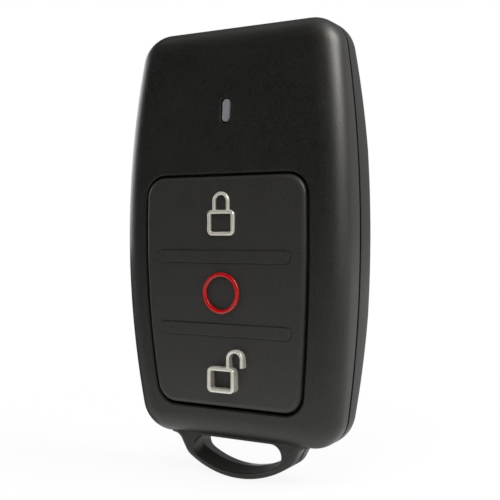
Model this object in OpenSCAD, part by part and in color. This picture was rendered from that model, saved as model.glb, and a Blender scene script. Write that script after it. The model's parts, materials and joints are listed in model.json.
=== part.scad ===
// Alarm key fob: two-part moulded housing with a key-ring lug, a rubber pad with three keys, a lamp window,
// and the board, switches and coin cell inside. Millimetres, standing on the lug, face to the front (-Y).

/* [Housing] */
// Width of the body at its widest
body_w = 38; // [36:0.5:46]
// Height of the body without the lug
body_h = 63.2; // [62:0.2:70]
// Radius of the bulging sides
side_r = 200; // [150:5:400]
// Corner radius of the body outline
corner_r = 5; // [4.6:0.1:6]
// Depth from the seam to the crown of the face
front_depth = 6.9; // [6.7:0.1:8]
// Radius of the lengthwise crown of the face
crown_r = 254; // [240:2:400]
// Radius of the rolled edge round the face
edge_r = 3.8; // [2.5:0.1:4]
// Depth from the seam to the flat of the back
rear_depth = 6; // [5.8:0.1:8]
// Radius of the lengthwise crown of the back
rear_crown_r = 220; // [200:5:400]
// Rise of the back's crown that the flat cuts away
rear_land = 0.35; // [0.2:0.05:0.6]
// Radius of the rolled edge round the back
rear_edge_r = 2.5; // [1.5:0.1:3]
// Wall thickness of both shells
wall = 1.8; // [1.4:0.1:2]

/* [Key-ring lug] */
// Drop of the lug below the body
lug_drop = 5.85; // [5.4:0.05:8]
// Half width of the lug where it leaves the body
lug_half_w = 10.6; // [10:0.1:13]
// Slope of the lug's sides from the vertical
lug_slope = 29; // [20:1:32]
// Radius of the lug's bottom curve
lug_r = 15; // [13:0.5:20]
// Radius of the blend between lug and body
lug_root_r = 1.8; // [1:0.1:2.4]
// Edge rounding of the lug
lug_edge_r = 0.8; // [0.4:0.1:1.2]
// Depth of the lug in front of the seam
lug_front = 3; // [2.4:0.1:3.2]
// Depth of the lug behind the seam
lug_rear = 2.7; // [2.2:0.1:3]
// Half width of the key-ring hole
ring_hole_half_w = 7.8; // [6:0.1:8]
// Thickness of the bow below the hole
lug_bow = 1.25; // [1:0.05:1.5]
// Rise of the hole's flat top above the bottom edge of the body
ring_hole_rise = 0.16; // [0.1:0.02:0.3]

/* [Key pad] */
// Half width of the pad window at the middle of the body
pad_half_w = 13.95; // [13:0.05:14.2]
// Height of the window's top edge above the upper divider bar
pad_top = 12.25; // [11.1:0.05:13.5]
// Height of the window's bottom edge above the bottom of the body
pad_bottom = 5.25; // [5:0.05:6.1]
// Corner radius of the window
pad_corner_r = 3.3; // [1.5:0.1:3.8]
// Gap between pad and window
pad_gap = 0.32; // [0.2:0.02:0.4]
// How far the pad stands proud of the face
pad_proud = 0.45; // [0.3:0.05:0.6]
// Running gap between a key and the fixed mat
key_gap = 0.12; // [0.08:0.01:0.2]
// Stroke of each key
key_stroke = 0.35; // [0.2:0.05:0.35]
// Width of the hidden flange round the pad
flange_w = 1.2; // [0.8:0.1:1.3]
// Thickness of the hidden flange
flange_t = 0.8; // [0.6:0.05:0.9]
// Height of the upper divider bar above the lower one
bar_upper_z = 10.9; // [10.2:0.1:11.2]
// Height of the lower divider bar above the window's bottom edge
bar_lower_z = 11.95; // [11.35:0.1:12.35]
// Breadth of a divider bar
bar_breadth = 1.95; // [1.6:0.05:2.2]
// Length of a divider bar
bar_length = 23.2; // [18:0.2:24]
// Rise of a divider bar above the keys
bar_rise = 0.15; // [0.1:0.05:0.3]

/* [Icons] */
// Rise of the icons' common flat face above the crown of the pad
icon_rise = 0.45; // [0.4:0.05:1]
// Depth to which an icon is let into its key
icon_seat = 0.5; // [0.3:0.05:0.6]
// Stroke width of the padlocks
icon_stroke = 0.58; // [0.5:0.02:0.8]
// Width of a padlock's box
lock_box_w = 4.6; // [4:0.05:5.2]
// Height of a padlock's box
lock_box_h = 3.8; // [3.4:0.05:4.2]
// Corner radius of a padlock's box
lock_box_r = 0.55; // [0.3:0.05:0.6]
// Outer width of a shackle
shackle_w = 2.75; // [2.6:0.05:3.4]
// Height of a shackle above its box
shackle_h = 2.7; // [2.4:0.05:3]
// Height of the closed padlock's box centre above the upper divider bar
lock_z = 5; // [4.7:0.1:5.3]
// Height of the open padlock's box centre above the window's bottom edge
unlock_z = 4.65; // [4.35:0.1:5.35]
// Sideways swing of the open shackle
shackle_swing = 2.35; // [2.2:0.05:3]
// Outer diameter of the red ring
ring_d = 6.15; // [5.4:0.05:6.8]
// Thickness of the red ring's bead
ring_bead = 0.68; // [0.6:0.02:0.9]
// Height of the red ring's centre above the lower divider bar
ring_z = 5.5; // [5.2:0.1:5.8]

/* [Lamp window] */
// Height of the lamp window's centre above the key pad's window
lamp_z = 9.5; // [7.25:0.25:9.75]
// Width of the lamp window
lamp_w = 1.35; // [1.1:0.05:1.8]
// Height of the lamp window
lamp_h = 3.5; // [3:0.1:4.5]
// Gap round the lamp window
lamp_gap = 0.2; // [0.1:0.02:0.3]

/* [Inside] */
// Depth of the board's front behind the pad's flange over the unlock switch
board_front = 1.78; // [1.68:0.05:1.88]
// Thickness of the board
board_t = 1; // [0.8:0.1:1.2]
// Height of the board's top edge above the lamp window's centre
board_top = 3.25; // [2.95:0.1:3.75]
// Space between board and housing wall
board_gap = 1.2; // [1:0.1:1.6]
// Side of a switch body
switch_side = 4.6; // [4:0.1:5]
// Height of a switch body
switch_h = 1; // [0.8:0.05:1.1]
// Diameter of a switch plunger
stem_d = 2.1; // [1.6:0.1:2.4]
// Rise of a plunger above its switch body
stem_rise = 0.5; // [0.45:0.05:0.6]
// Diameter of the post under a key
post_d = 3.2; // [2.6:0.1:3.6]
// Diameter of the coin cell
cell_d = 20; // [16:0.5:20]
// Thickness of the coin cell
cell_t = 3.2; // [2:0.1:3.2]
// Height of the coin cell's centre above the bottom of the body
cell_z = 25.6; // [24.6:0.5:26.6]
// Thickness of the battery contacts
contact_t = 0.3; // [0.2:0.05:0.4]
// Half distance between the housing screws
screw_x = 11.2; // [10:0.1:11.4]
// Distance of the housing screws below the top of the body
screw_z = 5.4; // [5.2:0.1:6]
// Thread diameter of the housing screws
screw_d = 1.9; // [1.6:0.1:2]
// Head diameter of the housing screws
screw_head_d = 3.7; // [3:0.1:3.8]

/* [Hidden] */

// Steps of the round surfaces
$fn = 64;
curve_fn = 128;
crown_fn = 720;
side_steps = 10;
corner_steps = 5;
edge_steps = 6;
lug_steps = 5;
lug_edge_steps = 3;
hole_steps = 12;
// Step to which a worked-out depth is rounded
depth_step = 0.01;
// Depth and side of cuts that pass the whole fob
through = 40;
stock = 200;
// Clearance of parts that are pressed or glued together
snug = 0.05;
// Stock left past the seam, which one flat cut takes off
seam_spare = 1;

// Overall reach, which puts the origin at the middle of the whole fob
half_w = body_w / 2;
half_h = body_h / 2;
icon_face = front_depth + pad_proud + icon_rise;
mid_y = (rear_depth - icon_face) / 2;
mid_z = -lug_drop / 2;

// Heights of the pad, its bars and what lies on it or behind it, from the body's centre
pad_low = pad_bottom - half_h;
bar_lower = pad_low + bar_lower_z;
bar_upper = bar_lower + bar_upper_z;
pad_high = bar_upper + pad_top;
unlock_mid = pad_low + unlock_z;
ring_mid = bar_lower + ring_z;
lock_mid = bar_upper + lock_z;
lamp_mid = pad_high + lamp_z;
board_high = lamp_mid + board_top;
board_low = wall + board_gap - half_h;
cell_mid = cell_z - half_h;
screw_mid = half_h - screw_z;

// Inner lip of the rear shell
lip_t = 0.6;
lip_h = 0.9;
lip_gap = 0.1;

// Screw bosses
boss_r = 2.2;
boss_room = 0.4;
screw_clear = 0.15;
screw_head_h = 1.3;
screw_seat = 2.6;
screw_reach = 3.4;
pilot_depth = 3.8;
recess_w = 0.45;
recess_l = 2.2;
recess_depth = 0.7;

// Board posts of the rear shell
rest_r = 1.2;
rest_x = 13;
rest_top_drop = 6.5;
rest_low_rise = 8.6;
rest_heights = [board_high - rest_top_drop, board_low + rest_low_rise];

// Skirt of the key mat and collar of the lamp window
skirt_t = 0.9;
collar_lip = 0.7;
collar_t = 0.6;
led_gap = 0.2;
led_h = 0.6;
led_w = 0.8;
led_l = 1.6;
led_size = [led_w, led_l];
switch_corner_r = 0.45;

// Places of the keys: lower edge, upper edge and switch height of each
bar_half = bar_breadth / 2;
lock_zone = [bar_upper + bar_half + key_gap / 2, pad_high];
panic_zone = [bar_lower + bar_half + key_gap / 2, bar_upper - bar_half - key_gap / 2];
unlock_zone = [pad_low, bar_lower - bar_half - key_gap / 2];

shell_grey = [0.13, 0.13, 0.125];
pad_grey = [0.19, 0.19, 0.18];
icon_grey = [0.78, 0.77, 0.74];
ring_red = [0.75, 0.05, 0.06];
board_green = [0.1, 0.35, 0.2];
steel = [0.75, 0.75, 0.77];
chip_black = [0.08, 0.08, 0.09];

// Depth of the face in front of the seam at height z
function face_depth(z) = front_depth - crown_r + sqrt(crown_r * crown_r - z * z);
// Depth of the back behind the seam at height z
function back_depth(z) =
    min(rear_depth, rear_depth + rear_land - rear_crown_r + sqrt(rear_crown_r * rear_crown_r - z * z));

// Front of the board, from the seam
board_depth = face_depth(unlock_mid) - wall - flange_t - board_front;
board_face = depth_step * round(board_depth / depth_step);

// Right half of a barrel outline from bottom to top, moved inwards by inset
function barrel_half(half, z_low, z_high, corner, inset) =
    let (
        axis_x = half - side_r,
        core = side_r - corner,
        low = asin((z_low + corner) / core),
        high = asin((z_high - corner) / core),
        small = corner - inset,
        big = side_r - inset
    )
    concat(
        [for (i = [0 : corner_steps - 1])
            let (a = -90 + (low + 90) * i / corner_steps)
            [axis_x + core * cos(low) + small * cos(a), core * sin(low) + small * sin(a)]],
        [for (i = [0 : side_steps])
            let (a = low + (high - low) * i / side_steps)
            [axis_x + big * cos(a), big * sin(a)]],
        [for (i = [1 : corner_steps])
            let (a = high + (90 - high) * i / corner_steps)
            [axis_x + core * cos(high) + small * cos(a), core * sin(high) + small * sin(a)]]
    );

// A right half and its mirror image, as one closed outline
function closed(right) =
    concat(right, [for (i = [len(right) - 1 : -1 : 0]) [-right[i][0], right[i][1]]]);

function body_outline(inset) = closed(barrel_half(half_w, -half_h, half_h, corner_r, inset));
function pad_outline(inset) = closed(barrel_half(pad_half_w, pad_low, pad_high, pad_corner_r, inset));
function board_outline(inset) = closed(barrel_half(half_w, -half_h, board_high + inset, corner_r, inset));

// Places of the lug: its bottom curve's axis, its root, and the corner between side and bottom curve
lug_low = -half_h - lug_drop;
lug_axis_z = lug_low + lug_r;
lug_corner_r = 3;
lug_root_in = 1.3;
root_x = lug_half_w + lug_root_r * (1 - sin(lug_slope)) / cos(lug_slope);
side_reach = lug_half_w * cos(lug_slope) + (lug_r - lug_drop) * sin(lug_slope) - lug_corner_r;
corner_reach = lug_r - lug_corner_r;
corner_turn = asin(side_reach / corner_reach) - lug_slope;
corner_x = corner_reach * sin(corner_turn);
corner_z = lug_axis_z - corner_reach * cos(corner_turn);

// Right half of the lug from beside its lowest point up to its root in the body, moved inwards by inset
function lug_half(inset) =
    let (
        bottom = lug_r - inset,
        corner = lug_corner_r - inset,
        root = lug_root_r + inset
    )
    concat(
        [for (i = [1 : lug_steps - 1])
            let (a = corner_turn * i / lug_steps)
            [bottom * sin(a), lug_axis_z - bottom * cos(a)]],
        [for (i = [0 : lug_steps])
            let (a = corner_turn - 90 + (90 - corner_turn - lug_slope) * i / lug_steps)
            [corner_x + corner * cos(a), corner_z + corner * sin(a)]],
        [for (i = [0 : lug_steps])
            let (a = 180 - lug_slope + (lug_slope - 90) * i / lug_steps)
            [root_x + root * cos(a), -half_h - lug_root_r + root * sin(a)]],
        [[root_x, -half_h + lug_root_in]]
    );

function lug_outline(inset) = concat([[0, lug_low + inset]], closed(lug_half(inset)));

// Faces of the band between ring k and the next one, for outlines that run anticlockwise from the front
function band(k, n) =
    [for (i = [0 : n - 1], half = [0, 1])
        let (j = (i + 1) % n)
        half == 0
            ? [(k + 1) * n + i, (k + 1) * n + j, k * n + j]
            : [(k + 1) * n + i, k * n + j, k * n + i]];

function turned(face, front) = front ? [for (i = [len(face) - 1 : -1 : 0]) face[i]] : face;

// Strips across ring k between points at the same height; an odd ring starts with one lowest point
function strips(k, n, front) =
    let (first = n % 2)
    concat(
        first == 0 ? [] : [turned([k * n, k * n + 1, k * n + n - 1], front)],
        [for (i = [first : (n + first) / 2 - 2])
            let (j = n - 1 + first - i)
            turned([k * n + i, k * n + i + 1, k * n + j - 1, k * n + j], front)]
    );

// Solid through rings of points, closed by strips at both ends
module loft(rings) {
    n = len(rings[0]);
    top = len(rings) - 1;
    polyhedron(
        points = [for (ring = rings, p = ring) p],
        faces = concat(
            strips(0, n, false),
            [for (k = [0 : top - 1], f = band(k, n)) f],
            strips(top, n, true)
        )
    );
}

// Half of the body, solid, with a straight wall and a rolled edge that follows the crown
module body_half(depth, rolled) {
    rings = concat(
        [[for (p = body_outline(0)) [p[0], seam_spare, p[1]]]],
        [for (j = [0 : edge_steps])
            let (
                a = 90 * j / edge_steps,
                inset = rolled * (1 - cos(a))
            )
            [for (p = body_outline(inset)) [p[0], -depth(p[1]) + rolled * (1 - sin(a)), p[1]]]]
    );
    loft(rings);
}

// Half of the lug, solid, with its outer edge rounded
module lug_part(depth) {
    rings = concat(
        [[for (p = lug_outline(0)) [p[0], seam_spare, p[1]]]],
        [for (j = [0 : lug_edge_steps])
            let (a = 90 * j / lug_edge_steps)
            [for (p = lug_outline(lug_edge_r * (1 - cos(a))))
                [p[0], -depth + lug_edge_r * (1 - sin(a)), p[1]]]]
    );
    loft(rings);
}

// Puts the seam-based model where the origin is the middle of the whole fob
module placed() {
    translate([0, -mid_y, -mid_z]) children();
}

// A flat outline in width and height, given depth from one distance in front of the seam to another
module layer(from, to) {
    translate([0, -from, 0]) rotate([90, 0, 0]) linear_extrude(to - from) children();
}

// A round bar along the depth
module pin(x, z, d, from, to) {
    layer(from, to) translate([x, z]) circle(d = d);
}

// Everything behind a surface that lies a set distance outside the face
module under_face(offset) {
    translate([0, crown_r - front_depth, 0]) rotate([0, 90, 0])
        cylinder(h = body_w * 2, r = crown_r + offset, center = true, $fn = crown_fn);
}

module under_back(offset) {
    translate([0, rear_depth + rear_land - rear_crown_r, 0]) rotate([0, 90, 0])
        cylinder(h = body_w * 2, r = rear_crown_r + offset, center = true, $fn = crown_fn);
}

// Key-ring hole: flat above, along the lug's bottom curve below, with ends rounded to touch both
hole_r = lug_r - lug_bow;
hole_top = ring_hole_rise - half_h;
hole_high = hole_top - lug_axis_z;
end_slack = hole_r - ring_hole_half_w - hole_high;
hole_corner = pow(hole_r, 2) - pow(ring_hole_half_w, 2) - pow(hole_high, 2);
hole_end_r = sqrt(pow(end_slack, 2) + hole_corner) - end_slack;
hole_end_x = ring_hole_half_w - hole_end_r;
hole_end_z = hole_top - hole_end_r;

hole_touch = atan2(hole_end_x, lug_axis_z - hole_end_z);

// Right half of the hole, from beside its lowest point to the end of its flat top
function hole_half() = concat(
    [for (i = [1 : hole_steps])
        let (a = hole_touch * i / hole_steps)
        [hole_r * sin(a), lug_axis_z - hole_r * cos(a)]],
    [for (i = [1 : hole_steps])
        let (a = hole_touch - 90 + (180 - hole_touch) * i / hole_steps)
        [hole_end_x + hole_end_r * cos(a), hole_end_z + hole_end_r * sin(a)]]
);

module ring_hole() {
    layer(-through / 2, through / 2)
        polygon(concat([[0, lug_axis_z - hole_r]], closed(hole_half())));
}

module pill(w, h) {
    translate([0, -(h - w) / 2]) circle(d = w);
    translate([0, (h - w) / 2]) circle(d = w);
    square([w, h - w], center = true);
}

// Cuts flat at the seam, taking off the stock behind it (or in front of it), and cuts the key-ring hole
module trimmed(from) {
    difference() {
        children();
        layer(from, from + 2 * seam_spare) square(stock, center = true);
        ring_hole();
    }
}

module front_shell() color(shell_grey) placed() union() {
    difference() {
        trimmed(-2 * seam_spare) body_half(function(z) face_depth(z), edge_r);
        difference() {
            intersection() {
                layer(-seam_spare, through) polygon(body_outline(wall));
                under_face(-wall);
            }
            for (side = [-1, 1]) pin(side * screw_x, screw_mid, 2 * boss_r, 0, through);
        }
        for (side = [-1, 1])
            pin(side * screw_x, screw_mid, screw_d + screw_clear, -seam_spare, pilot_depth);
        layer(board_face, through) polygon(pad_outline(0));
        layer(board_face, through) translate([0, lamp_mid])
            pill(lamp_w + 2 * lamp_gap, lamp_h + 2 * lamp_gap);
    }
    trimmed(-2 * seam_spare) lug_part(lug_front);
}

module rear_shell() color(shell_grey) placed() union() {
    difference() {
        union() {
            trimmed(0) mirror([0, 1, 0]) body_half(function(z) back_depth(z), rear_edge_r);
            layer(-seam_spare, lip_h) difference() {
                polygon(body_outline(wall + lip_gap));
                polygon(body_outline(wall + lip_gap + lip_t));
            }
        }
        difference() {
            intersection() {
                layer(-(rear_depth - wall), through) polygon(body_outline(wall + lip_gap + lip_t));
                under_back(-wall);
            }
            for (side = [-1, 1]) pin(side * screw_x, screw_mid, 2 * boss_r, -through, 0);
            for (side = [-1, 1], z = rest_heights)
                pin(side * rest_x, z, 2 * rest_r, -through, board_face - board_t);
        }
        for (side = [-1, 1]) {
            pin(side * screw_x, screw_mid, screw_d + 2 * screw_clear, -through, through);
            pin(side * screw_x, screw_mid, screw_head_d + 2 * screw_clear, -through, -screw_seat);
        }
    }
    trimmed(0) mirror([0, 1, 0]) lug_part(lug_rear);
}

// Solid of the pad between its outer surface and the flange's inner surface
module pad_block(inset, low, high, rise) {
    difference() {
        intersection() {
            layer(0, through) intersection() {
                polygon(pad_outline(inset));
                translate([-body_w, low]) square([2 * body_w, high - low]);
            }
            under_face(pad_proud + rise);
        }
        under_face(-wall - flange_t);
    }
}

module key_mat() color(pad_grey) placed() {
    difference() {
        union() {
            difference() {
                intersection() {
                    layer(board_face, through) polygon(pad_outline(-flange_w));
                    under_face(-wall - snug);
                }
                difference() {
                    layer(0, through) polygon(pad_outline(skirt_t - flange_w));
                    difference() {
                        layer(0, through) square(stock, center = true);
                        under_face(-wall - flange_t);
                    }
                }
            }
            for (z = [bar_upper, bar_lower]) {
                pad_block(pad_gap, z - bar_half + key_gap / 2, z + bar_half - key_gap / 2, 0);
                intersection() {
                    layer(front_depth - wall, through) translate([0, z]) rotate(90)
                        pill(bar_breadth - key_gap, bar_length);
                    under_face(pad_proud + bar_rise);
                }
            }
        }
        for (zone = [lock_zone, panic_zone, unlock_zone])
            pad_key_room(zone);
    }
}

// Opening in the mat that one key moves in
module pad_key_room(zone) {
    layer(0, through) intersection() {
        polygon(pad_outline(pad_gap - key_gap));
        translate([-body_w, zone[0] - key_gap / 2]) square([2 * body_w, zone[1] - zone[0] + key_gap]);
    }
}

// One key: its zone of the pad with a post down to its switch, less the seat of its icon
module pad_key(zone, z) {
    difference() {
        union() {
            pad_block(pad_gap, zone[0] + key_gap / 2, zone[1] - key_gap / 2, 0);
            pin(0, z, post_d, stem_top, face_depth(z) - wall);
        }
        children();
    }
}

stem_top = board_face + switch_h + stem_rise;
// Depth of an icon's seat, below the pad's surface at the icon's far end
function seat_depth(z) = face_depth(z) + pad_proud - icon_seat;
lock_seat = seat_depth(lock_mid + lock_box_h / 2 + shackle_h);
unlock_seat = seat_depth(unlock_mid - lock_box_h / 2);
ring_seat = seat_depth(ring_mid - ring_d / 2);

// Depth to which a shackle's legs reach into the box
leg_seat = 0.2;

// Padlock drawn as a box frame with a shackle over it, each stroke grown by a fit
module padlock(swing, grow) {
    difference() {
        rounded_box(lock_box_w + 2 * grow, lock_box_h + 2 * grow, lock_box_r + grow);
        square([lock_box_w, lock_box_h] - 2 * (icon_stroke + grow) * [1, 1], center = true);
    }
    bend_z = lock_box_h / 2 + shackle_h - shackle_w / 2;
    leg_low = lock_box_h / 2 - leg_seat;
    translate([swing, 0]) {
        difference() {
            translate([0, bend_z]) circle(d = shackle_w + 2 * grow);
            translate([0, bend_z]) circle(d = shackle_w - 2 * icon_stroke - 2 * grow);
            translate([-shackle_w, bend_z - shackle_w]) square([2 * shackle_w, shackle_w]);
        }
        for (side = [-1, 1])
            translate([side * (shackle_w - icon_stroke) / 2, (bend_z + leg_low) / 2])
                square([icon_stroke + 2 * grow, bend_z - leg_low + 2 * grow], center = true);
    }
}

module rounded_box(w, h, r) {
    square([w - 2 * r, h], center = true);
    square([w, h - 2 * r], center = true);
    for (x = [-1, 1], z = [-1, 1])
        translate([x * (w / 2 - r), z * (h / 2 - r)]) circle(r = r);
}

module padlock_solid(z, swing, seat, grow) {
    layer(seat, icon_face) translate([0, z]) padlock(swing, grow);
}

// Red ring: a round bead on a wall let into the key
module ring_solid(grow) {
    bead_r = ring_bead / 2 + grow;
    translate([0, -ring_seat, ring_mid]) rotate([90, 0, 0]) rotate_extrude($fn = curve_fn)
        translate([(ring_d - ring_bead) / 2, 0]) {
            translate([0, icon_face - ring_seat - ring_bead / 2]) circle(r = bead_r);
            translate([-bead_r, 0]) square([2 * bead_r, icon_face - ring_seat - ring_bead / 2]);
        }
}

module lock_key() color(pad_grey) placed()
    pad_key(lock_zone, lock_mid) padlock_solid(lock_mid, 0, lock_seat, snug);

module panic_key() color(pad_grey) placed()
    pad_key(panic_zone, ring_mid) ring_solid(snug);

module unlock_key() color(pad_grey) placed()
    pad_key(unlock_zone, unlock_mid) padlock_solid(unlock_mid, shackle_swing, unlock_seat, snug);

module lock_icon() color(icon_grey) placed() padlock_solid(lock_mid, 0, lock_seat, 0);

module panic_ring() color(ring_red) placed() ring_solid(0);

module unlock_icon() color(icon_grey) placed() padlock_solid(unlock_mid, shackle_swing, unlock_seat, 0);

// Lamp window: a pill flush with the face and a collar behind the wall
module light_pipe() color(icon_grey) placed() {
    collar_face = face_depth(lamp_mid + lamp_h / 2 + collar_lip) - wall - snug;
    intersection() {
        layer(board_face + led_h + led_gap, through) translate([0, lamp_mid]) pill(lamp_w, lamp_h);
        under_face(0);
    }
    layer(collar_face - collar_t, collar_face) translate([0, lamp_mid])
        pill(lamp_w + 2 * collar_lip, lamp_h + 2 * collar_lip);
}

// Board, cut back round the screw bosses where it reaches them
module circuit_board() color(board_green) placed()
    layer(board_face - board_t, board_face) difference() {
        polygon(board_outline(wall + board_gap));
        for (side = [-1, 1]) translate([side * screw_x, screw_mid]) circle(r = boss_r + boss_room);
    }

// Switch body with a round well for its plunger
module switch_body(z) color(chip_black) placed()
    layer(board_face, board_face + switch_h) translate([0, z]) difference() {
        rounded_box(switch_side, switch_side, switch_corner_r);
        circle(d = stem_d + 2 * key_gap);
    }

module switch_stem(z) color(icon_grey) placed()
    pin(0, z, stem_d, board_face + key_stroke + key_gap, stem_top);

module lock_switch() switch_body(lock_mid);
module panic_switch() switch_body(ring_mid);
module unlock_switch() switch_body(unlock_mid);
module lock_stem() switch_stem(lock_mid);
module panic_stem() switch_stem(ring_mid);
module unlock_stem() switch_stem(unlock_mid);

module status_led() color(icon_grey) placed()
    layer(board_face, board_face + led_h) translate([0, lamp_mid]) square(led_size, center = true);

// A part on the back of the board
module on_back(x, z, w, h, t) {
    layer(board_face - board_t - t, board_face - board_t) translate([x, z]) square([w, h], center = true);
}

controller_x = -6;
controller_drop = 10;
controller_at = [controller_x, board_high - controller_drop];
controller_w = 4.4;
controller_l = 5;
controller_size = [controller_w, controller_l];
controller_t = 1.1;
lead_pitch = 0.65;
lead_count = 7;
lead_l = 1;
lead_w = 0.3;
lead_size = [lead_l, lead_w];
lead_t = 0.2;

// Controller: a moulded block with gull-wing leads along both sides
module controller_chip() color(chip_black) placed() {
    on_back(controller_at[0], controller_at[1], controller_size[0], controller_size[1], controller_t);
    for (side = [-1, 1], i = [0 : lead_count - 1])
        on_back(
            controller_at[0] + side * (controller_size[0] + lead_size[0]) / 2,
            controller_at[1] + (i - (lead_count - 1) / 2) * lead_pitch,
            lead_size[0], lead_size[1], lead_t
        );
}

radio_x = 4.5;
radio_drop = 9;
radio_at = [radio_x, board_high - radio_drop];
radio_side = 4;
radio_t = 0.9;
crystal_x = 9.6;
crystal_at = [crystal_x, board_high - radio_drop];
crystal_w = 2.5;
crystal_l = 3.2;
crystal_size = [crystal_w, crystal_l];
crystal_t = 0.8;

module radio_chip() color(chip_black) placed()
    on_back(radio_at[0], radio_at[1], radio_side, radio_side, radio_t);

module crystal() color(steel) placed()
    on_back(crystal_at[0], crystal_at[1], crystal_size[0], crystal_size[1], crystal_t);

small_w = 0.5;
small_l = 1;
small_part = [small_w, small_l];
small_part_t = 0.5;
small_row = 8;
small_pitch = 2.4;
small_drop = 3.7;
small_row_z = board_high - small_drop;

// A row of small resistors and capacitors above the chips
module chip_components() color(icon_grey) placed()
    for (i = [0 : small_row - 1])
        on_back(
            (i - (small_row - 1) / 2) * small_pitch, small_row_z,
            small_part[0], small_part[1], small_part_t
        );

cell_front = board_face - board_t - contact_t;
cell_back = cell_front - cell_t;
cell_rim = 0.9;
cell_step = 0.3;

// Coin cell: a can with a smaller cap towards the board
module battery() color(steel) placed() {
    pin(0, cell_mid, cell_d, cell_back, cell_front - cell_step);
    pin(0, cell_mid, cell_d - 2 * cell_rim, cell_front - cell_step, cell_front);
}

clip_w = 5;
clip_foot = 1.6;
clip_gap = 0.2;

// Strap over the cell with a leg and a foot on the board at each side
module battery_plus_clip() color(steel) placed() {
    reach = cell_d / 2 + clip_gap;
    layer(cell_back - contact_t, cell_back) translate([0, cell_mid])
        square([2 * (reach + contact_t), clip_w], center = true);
    for (side = [-1, 1]) {
        layer(cell_back, board_face - board_t) translate([side * (reach + contact_t / 2), cell_mid])
            square([contact_t, clip_w], center = true);
        layer(board_face - board_t - contact_t, board_face - board_t)
            translate([side * (reach + contact_t / 2 + clip_foot / 2), cell_mid])
                square([clip_foot, clip_w], center = true);
    }
}

leaf_w = 6;
leaf_l = 12;
leaf_corner_r = 1;

module battery_minus_contact() color(steel) placed()
    layer(cell_front, board_face - board_t) translate([0, cell_mid])
        rounded_box(leaf_l, leaf_w, leaf_corner_r);

// Driven from the back into the front bosses: sunk round heads with a cross recess
module housing_screws() color(steel) placed()
    for (side = [-1, 1])
        difference() {
            union() {
                pin(side * screw_x, screw_mid, screw_d, -screw_seat, screw_reach);
                pin(side * screw_x, screw_mid, screw_head_d, -screw_seat - screw_head_h, -screw_seat);
            }
            for (turn = [0, 90])
                layer(-through, recess_depth - screw_seat - screw_head_h)
                    translate([side * screw_x, screw_mid]) rotate(turn)
                        square([recess_l, recess_w], center = true);
        }

front_shell();
rear_shell();
key_mat();
lock_key();
panic_key();
unlock_key();
lock_icon();
panic_ring();
unlock_icon();
light_pipe();
circuit_board();
lock_switch();
panic_switch();
unlock_switch();
lock_stem();
panic_stem();
unlock_stem();
status_led();
controller_chip();
radio_chip();
crystal();
chip_components();
battery();
battery_plus_clip();
battery_minus_contact();
housing_screws();
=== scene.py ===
"""Alarm key fob: crowned two-part housing with a key-ring lug, rubber key pad and raised icons."""
import json
from functools import partial
from math import asin, atan2, cos, pi, radians, sin, sqrt

import bmesh
import bpy
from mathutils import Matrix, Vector
from mathutils.geometry import delaunay_2d_cdt
from mathutils.kdtree import KDTree


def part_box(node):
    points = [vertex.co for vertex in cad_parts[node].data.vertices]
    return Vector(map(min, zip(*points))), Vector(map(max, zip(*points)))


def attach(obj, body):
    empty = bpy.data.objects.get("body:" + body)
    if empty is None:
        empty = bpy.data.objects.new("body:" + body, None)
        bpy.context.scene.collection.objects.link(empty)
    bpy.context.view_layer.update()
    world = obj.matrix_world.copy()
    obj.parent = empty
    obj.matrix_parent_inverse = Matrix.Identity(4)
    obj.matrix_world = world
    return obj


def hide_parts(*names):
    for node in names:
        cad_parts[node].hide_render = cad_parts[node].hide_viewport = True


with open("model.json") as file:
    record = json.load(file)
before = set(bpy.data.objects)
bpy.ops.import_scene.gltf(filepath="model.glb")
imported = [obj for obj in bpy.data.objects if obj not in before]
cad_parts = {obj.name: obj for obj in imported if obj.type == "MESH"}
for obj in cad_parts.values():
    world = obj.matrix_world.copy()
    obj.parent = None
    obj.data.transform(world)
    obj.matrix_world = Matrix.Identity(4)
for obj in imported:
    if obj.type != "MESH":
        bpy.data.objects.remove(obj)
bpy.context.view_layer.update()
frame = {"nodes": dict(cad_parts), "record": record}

bl_info = {
    "name": "Alarm key fob",
    "version": (1, 0, 0),
    "blender": (4, 5, 0),
    "location": "3D View > Sidebar > Key fob",
    "description": "Builds the housing, key pad, icons and studio of an alarm key fob",
    "category": "Object",
}

MM = 0.001
PREFIX = "fob_"

# Places that the packed model gives
SHELL_LOW, SHELL_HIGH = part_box("front_shell")
BACK_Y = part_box("rear_shell")[1].y
SEAM_Y = SHELL_HIGH.y
HALF_W = SHELL_HIGH.x
LOCK_LOW, LOCK_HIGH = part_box("lock_key")
PANIC_LOW, PANIC_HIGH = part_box("panic_key")
UNLOCK_LOW, UNLOCK_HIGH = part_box("unlock_key")
LOCK_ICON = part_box("lock_icon")
UNLOCK_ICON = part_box("unlock_icon")
RING_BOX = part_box("panic_ring")
PIPE_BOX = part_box("light_pipe")
SCREW_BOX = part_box("housing_screws")
STEM_TOP = SEAM_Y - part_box("lock_stem")[0].y


def number(name, value, description, **more):
    """Property for one number."""
    return bpy.props.FloatProperty(name=name, description=description, default=value, **more)


def length(name, value, description):
    """Property for one size of the fob, given in millimetres."""
    return number(
        name, value * MM, description, min=0, precision=5, unit="LENGTH", subtype="DISTANCE"
    )


def angle(name, value, description):
    """Property for one angle, given in degrees."""
    return number(name, radians(value), description, subtype="ANGLE")


def share(name, value, description):
    """Property for a number between nought and one."""
    return number(name, value, description, min=0, max=1, subtype="FACTOR")


def colour(name, value, description):
    """Property for one colour, as linear red, green and blue."""
    return bpy.props.FloatVectorProperty(
        name=name, description=description, default=value, size=3, min=0, max=1, subtype="COLOR"
    )


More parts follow.
